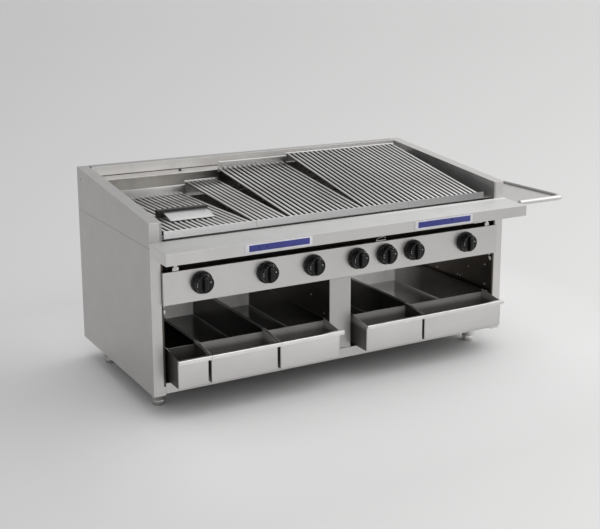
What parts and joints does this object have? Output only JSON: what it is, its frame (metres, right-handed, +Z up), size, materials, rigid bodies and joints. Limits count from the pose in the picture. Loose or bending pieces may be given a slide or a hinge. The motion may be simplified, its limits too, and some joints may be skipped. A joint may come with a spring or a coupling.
{
  "type": "charbroiler grill",
  "caption": "Counter-top gas charbroiler: steel cabinet on short legs, tilting rod grates, control knobs, slide-out water pans, front plate shelf and side shelf.",
  "frame": {"origin": "centre of the whole object's footprint, on the counter it stands on", "axes": "+X to the right as the cook sees it, along the width; +Y from the cook towards the back; +Z up"},
  "size_m": [1.4019, 0.7304, 0.6234],
  "materials": {
    "cabinet_steel": "brushed stainless, satin",
    "firebox_steel": "plain steel, dull",
    "grate_bar_steel": "bright brushed steel",
    "grate_rod_steel": "drawn steel rod, satin",
    "pan_steel": "stainless, satin",
    "cast_iron": "rough dark iron",
    "valve_brass": "machined brass",
    "knob_black": "glossy black phenolic",
    "nameplate_blue": "blank enamelled plate",
    "leg_steel": "plain steel, satin"
  },
  "bodies": {
    "cabinet": {"side_panel_left": "cabinet_steel", "side_panel_right": "cabinet_steel", "upper_side_left": "cabinet_steel", "upper_side_right": "cabinet_steel", "back_panel": "cabinet_steel", "bottom_rail": "cabinet_steel", "centre_column": "cabinet_steel", "control_panel": "cabinet_steel", "front_shelf": "cabinet_steel", "side_shelf": "cabinet_steel", "base_tray": "firebox_steel", "firebox_front": "firebox_steel", "rear_ladder": "firebox_steel", "front_grate_bar": "grate_bar_steel", "gas_manifold": "cast_iron", "burner_1": "cast_iron", "burner_2": "cast_iron", "burner_3": "cast_iron", "burner_4": "cast_iron", "burner_5": "cast_iron", "burner_6": "cast_iron", "burner_7": "cast_iron", "radiant_1": "cast_iron", "radiant_2": "cast_iron", "radiant_3": "cast_iron", "radiant_4": "cast_iron", "radiant_5": "cast_iron", "radiant_6": "cast_iron", "radiant_7": "cast_iron", "valve_1": "valve_brass", "valve_2": "valve_brass", "valve_3": "valve_brass", "valve_4": "valve_brass", "valve_5": "valve_brass", "valve_6": "valve_brass", "valve_7": "valve_brass", "nameplate_left": "nameplate_blue", "nameplate_right": "nameplate_blue", "leg_front_left": "leg_steel", "leg_front_right": "leg_steel", "leg_rear_left": "leg_steel", "leg_rear_right": "leg_steel"},
    "knob_1": {"knob_1": "knob_black"},
    "knob_2": {"knob_2": "knob_black"},
    "knob_3": {"knob_3": "knob_black"},
    "knob_4": {"knob_4": "knob_black"},
    "knob_5": {"knob_5": "knob_black"},
    "knob_6": {"knob_6": "knob_black"},
    "knob_7": {"knob_7": "knob_black"},
    "grate_1": {"grate_1": "grate_rod_steel"},
    "grate_2": {"grate_2": "grate_rod_steel"},
    "grate_3": {"grate_3": "grate_rod_steel"},
    "grate_4": {"grate_4": "grate_rod_steel"},
    "grate_5": {"grate_5": "grate_rod_steel"},
    "scraper": {"scraper": "grate_bar_steel"},
    "pan_1": {"pan_1": "pan_steel"},
    "pan_2": {"pan_2": "pan_steel"},
    "pan_3": {"pan_3": "pan_steel"},
    "pan_4": {"pan_4": "pan_steel"},
    "pan_5": {"pan_5": "pan_steel"}
  },
  "joints": [
    {"name": "knob_1_turn", "type": "hinge", "parent": "cabinet", "child": "knob_1", "pos_m": [-0.5558, -0.26375, 0.3785], "axis": [0, -1, 0], "range_deg": [0, 180]},
    {"name": "knob_2_turn", "type": "hinge", "parent": "cabinet", "child": "knob_2", "pos_m": [-0.352, -0.26375, 0.3785], "axis": [0, -1, 0], "range_deg": [0, 180]},
    {"name": "knob_3_turn", "type": "hinge", "parent": "cabinet", "child": "knob_3", "pos_m": [-0.1988, -0.26375, 0.3785], "axis": [0, -1, 0], "range_deg": [0, 180]},
    {"name": "knob_4_turn", "type": "hinge", "parent": "cabinet", "child": "knob_4", "pos_m": [-0.046, -0.26375, 0.3785], "axis": [0, -1, 0], "range_deg": [0, 180]},
    {"name": "knob_5_turn", "type": "hinge", "parent": "cabinet", "child": "knob_5", "pos_m": [0.0565, -0.26375, 0.3785], "axis": [0, -1, 0], "range_deg": [0, 180]},
    {"name": "knob_6_turn", "type": "hinge", "parent": "cabinet", "child": "knob_6", "pos_m": [0.157, -0.26375, 0.3785], "axis": [0, -1, 0], "range_deg": [0, 180]},
    {"name": "knob_7_turn", "type": "hinge", "parent": "cabinet", "child": "knob_7", "pos_m": [0.36, -0.26375, 0.3785], "axis": [0, -1, 0], "range_deg": [0, 180]},
    {"name": "grate_1_lift", "type": "hinge", "parent": "cabinet", "child": "grate_1", "pos_m": [-0.5211, -0.23125, 0.5241], "axis": [1, 0, 0], "range_deg": [0, 35]},
    {"name": "grate_2_lift", "type": "hinge", "parent": "cabinet", "child": "grate_2", "pos_m": [-0.32575, -0.23125, 0.5241], "axis": [1, 0, 0], "range_deg": [0, 35]},
    {"name": "grate_3_lift", "type": "hinge", "parent": "cabinet", "child": "grate_3", "pos_m": [-0.137, -0.23125, 0.5241], "axis": [1, 0, 0], "range_deg": [0, 35]},
    {"name": "grate_4_lift", "type": "hinge", "parent": "cabinet", "child": "grate_4", "pos_m": [0.06215, -0.23125, 0.5241], "axis": [1, 0, 0], "range_deg": [0, 35]},
    {"name": "grate_5_lift", "type": "hinge", "parent": "cabinet", "child": "grate_5", "pos_m": [0.28182, -0.23125, 0.5241], "axis": [1, 0, 0], "range_deg": [0, 35]},
    {"name": "scraper_lift_off", "type": "slide", "parent": "grate_1", "child": "scraper", "axis": [0, 0, 1], "range_m": [0, 0.12]},
    {"name": "pan_1_slide", "type": "slide", "parent": "cabinet", "child": "pan_1", "axis": [0, -1, 0], "range_m": [0, 0.45]},
    {"name": "pan_2_slide", "type": "slide", "parent": "cabinet", "child": "pan_2", "axis": [0, -1, 0], "range_m": [0, 0.45]},
    {"name": "pan_3_slide", "type": "slide", "parent": "cabinet", "child": "pan_3", "axis": [0, -1, 0], "range_m": [0, 0.45]},
    {"name": "pan_4_slide", "type": "slide", "parent": "cabinet", "child": "pan_4", "axis": [0, -1, 0], "range_m": [0, 0.45]},
    {"name": "pan_5_slide", "type": "slide", "parent": "cabinet", "child": "pan_5", "axis": [0, -1, 0], "range_m": [0, 0.45]}
  ]
}
